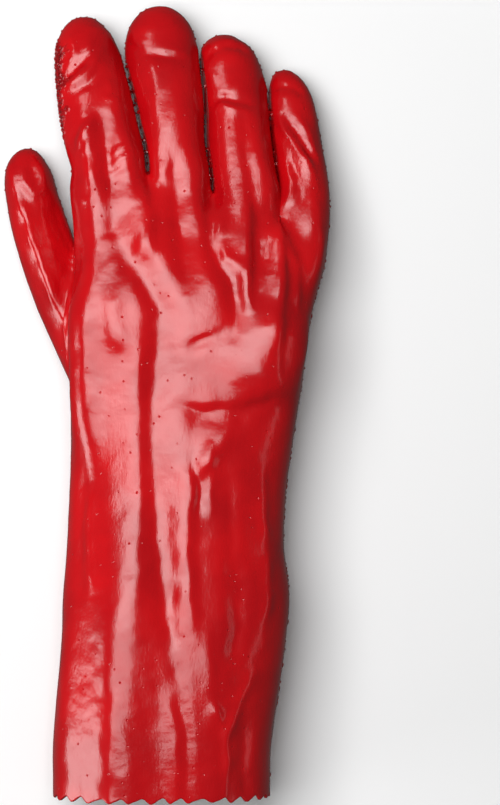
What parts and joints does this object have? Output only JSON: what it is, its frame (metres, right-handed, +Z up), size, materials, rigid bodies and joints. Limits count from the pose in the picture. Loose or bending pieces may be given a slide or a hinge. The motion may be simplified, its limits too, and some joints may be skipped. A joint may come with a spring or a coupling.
{
  "type": "pvc coated work glove",
  "caption": "Red PVC-coated gauntlet glove for the right hand, lying palm down: glossy smooth back, rough chip-finish palm, pinked cuff edge.",
  "frame": {"origin": "middle of the glove's footprint, on the surface it lies on", "axes": "+Y from the cuff to the fingertips, +Z up out of the back of the hand, +X to the little finger's side"},
  "size_m": [0.1442, 0.3492, 0.0663],
  "materials": {
    "red_pvc": "high gloss dipped coating, rough chips on the palm side"
  },
  "bodies": {
    "root": {"glove_shell": "red_pvc"}
  },
  "joints": []
}
